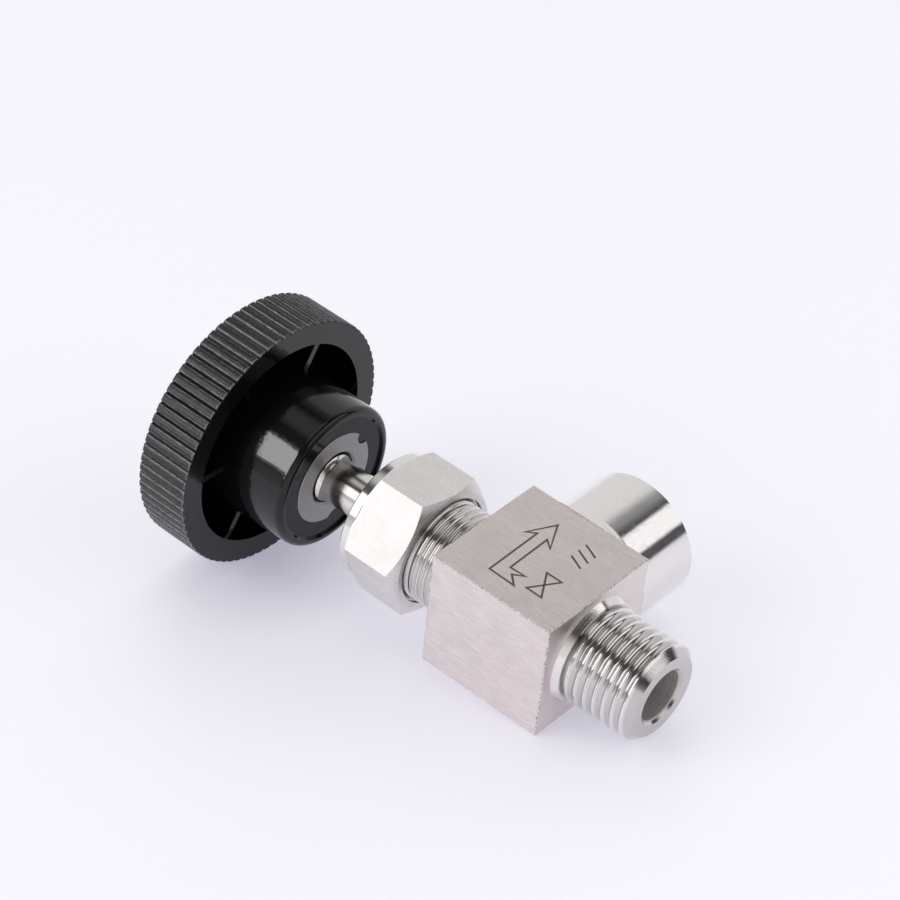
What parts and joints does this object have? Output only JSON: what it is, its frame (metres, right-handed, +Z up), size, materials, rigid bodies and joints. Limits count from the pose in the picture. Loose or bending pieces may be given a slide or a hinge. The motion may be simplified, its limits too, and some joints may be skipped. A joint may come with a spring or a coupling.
{
  "type": "needle valve",
  "caption": "Angle needle valve in stainless steel: square block, male threaded inlet, female threaded outlet at a right angle, hexagon packing nut and ribbed black handwheel.",
  "frame": {"origin": "middle of the bottom of the whole box, on the table that the valve lies on", "axes": "+Z up; +X level, along the stem from the handwheel to the inlet, which points 9.85 degrees below +X; +Y along the outlet, out of its mouth"},
  "size_m": [0.074, 0.0386, 0.0362],
  "materials": {
    "stainless_body": "ground flat faces with a fine straight grain, turned threads and outlet",
    "stainless_nut": "bright drawn hexagon bar, turned ends",
    "stainless_turned": "turned and polished",
    "ptfe": "waxy white PTFE",
    "spring_steel": "dark spring steel",
    "black_plastic": "black moulded thermoset, glossy hub and slightly duller ribbed rim",
    "black_cap": "black moulded cap, satin",
    "insert_metal": "dull grey machined metal, moulded in",
    "zinc_steel": "zinc plated"
  },
  "bodies": {
    "valve_body": {"valve_body": "stainless_body", "packing_support_washer": "stainless_turned", "packing_base_ring": "ptfe", "packing_v_ring_1": "ptfe", "packing_v_ring_2": "ptfe", "packing_v_ring_3": "ptfe", "packing_top_ring": "ptfe"},
    "packing_gland": {"packing_gland": "stainless_turned"},
    "packing_nut": {"packing_nut": "stainless_nut"},
    "needle": {"needle_tip": "stainless_turned"},
    "handwheel": {"needle_stem": "stainless_turned", "stem_stop_ring": "spring_steel", "tip_retainer": "stainless_turned", "handwheel": "black_plastic", "handwheel_insert": "insert_metal", "handwheel_washer": "zinc_steel", "handwheel_lock_washer": "spring_steel", "handwheel_screw": "zinc_steel", "handwheel_cap": "black_cap"}
  },
  "joints": [
    {"name": "needle_lift", "type": "slide", "parent": "valve_body", "child": "needle", "axis": [-0.9853, 0, 0.171], "range_m": [0, 0.004]},
    {"name": "handwheel_turn", "type": "hinge", "parent": "needle", "child": "handwheel", "pos_m": [-0.00388, -0.00154, 0.01355], "axis": [-0.9853, 0, 0.171], "range_deg": [0, 1440]},
    {"name": "gland_lift", "type": "slide", "parent": "valve_body", "child": "packing_gland", "axis": [-0.9853, 0, 0.171], "range_m": [0, 0.001]},
    {"name": "packing_nut_turn", "type": "hinge", "parent": "packing_gland", "child": "packing_nut", "pos_m": [-0.00388, -0.00154, 0.01355], "axis": [-0.9853, 0, 0.171], "range_deg": [0, 360]}
  ],
  "couplings": [
    {"joint": "needle_lift", "follows": "handwheel_turn", "m_per_rad": 0.00015915},
    {"joint": "gland_lift", "follows": "packing_nut_turn", "m_per_rad": 0.00015915}
  ]
}
